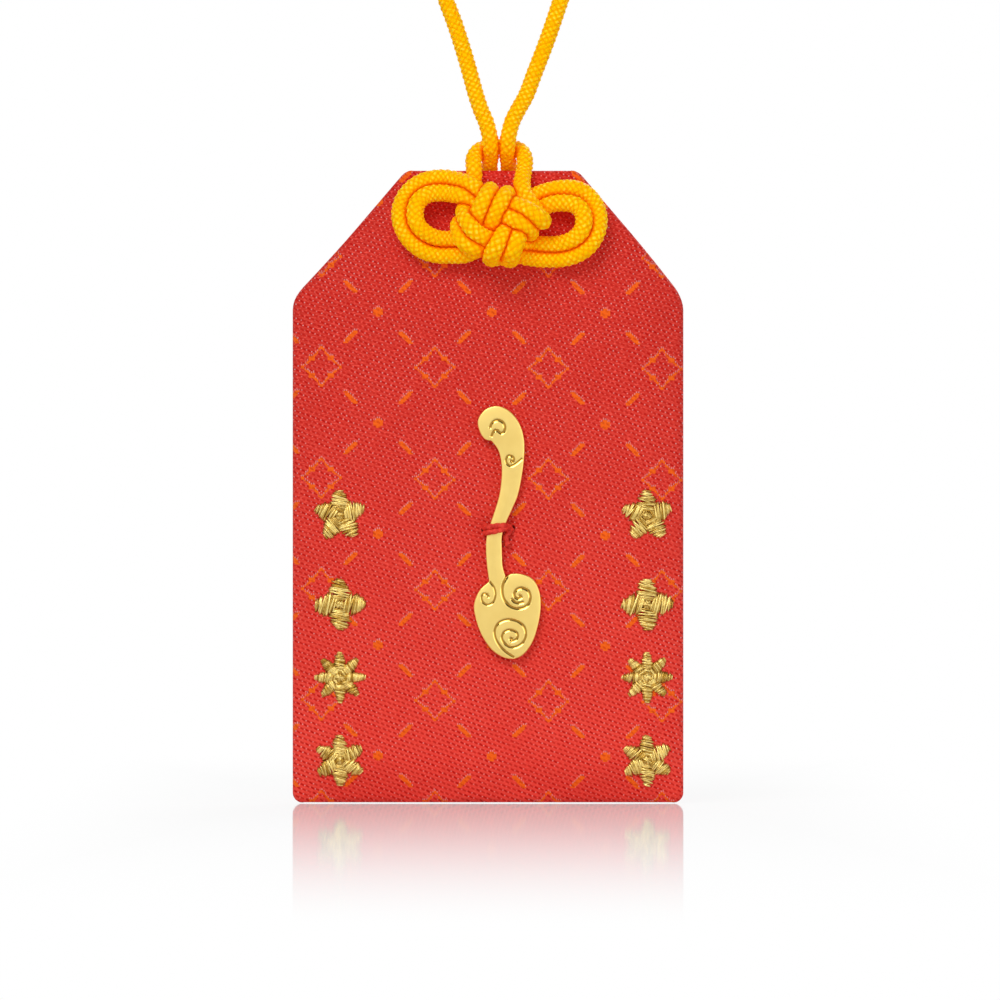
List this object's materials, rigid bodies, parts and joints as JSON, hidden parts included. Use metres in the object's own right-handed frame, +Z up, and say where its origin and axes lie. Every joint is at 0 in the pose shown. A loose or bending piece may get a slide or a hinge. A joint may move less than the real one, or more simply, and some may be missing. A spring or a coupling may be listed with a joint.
{
  "type": "omamori charm",
  "caption": "Flat gabled brocade pouch holding a paper-wrapped card, with a gold sceptre charm and embroidery on its front, hung from a knotted cord loop.",
  "frame": {"origin": "inside of the hanging loop's top, over the pouch's middle line, where a hook bears", "axes": "+Z up, the front of the pouch faces -Y, +X to the right seen from the front"},
  "size_m": [0.0494, 0.0124, 0.1174],
  "materials": {
    "brocade": "red twill brocade with an orange lattice",
    "interlining": "matt pressed felt",
    "red_thread": "twisted thread",
    "card": "matt board",
    "paper": "matt washi paper",
    "gold": "satin gold plate with polished grooves",
    "gold_thread": "metallic satin stitch",
    "yellow_cord": "braided cord"
  },
  "bodies": {
    "loop": {"hanging_loop": "yellow_cord"},
    "neck": {"loop_neck_left": "yellow_cord", "loop_neck_right": "yellow_cord"},
    "pouch": {"front_panel": "brocade", "back_panel": "brocade", "front_lining": "interlining", "back_lining": "interlining", "seam_thread": "red_thread", "knot_cord": "yellow_cord", "charm_tie_thread": "red_thread", "embroidery_left_1": "gold_thread", "embroidery_left_2": "gold_thread", "embroidery_left_3": "gold_thread", "embroidery_left_4": "gold_thread", "embroidery_right_1": "gold_thread", "embroidery_right_2": "gold_thread", "embroidery_right_3": "gold_thread", "embroidery_right_4": "gold_thread"},
    "charm": {"sceptre_charm": "gold"},
    "talisman": {"talisman_card": "card", "talisman_paper": "paper"}
  },
  "joints": [
    {"name": "sway_sideways", "type": "hinge", "parent": "loop", "child": "neck", "pos_m": [0.0014, 0, -0.03085], "axis": [0, 1, 0], "range_deg": [-30, 30]},
    {"name": "swing_back_and_forth", "type": "hinge", "parent": "neck", "child": "pouch", "pos_m": [0.0014, 0, -0.03085], "axis": [1, 0, 0], "range_deg": [-60, 60]},
    {"name": "charm_tilt", "type": "hinge", "parent": "pouch", "child": "charm", "pos_m": [0.0009, -0.0016, -0.08045], "axis": [0, 1, 0], "range_deg": [-8, 8]},
    {"name": "talisman_slide", "type": "slide", "parent": "pouch", "child": "talisman", "axis": [0, 0, 1], "range_m": [0, 0.003]}
  ]
}
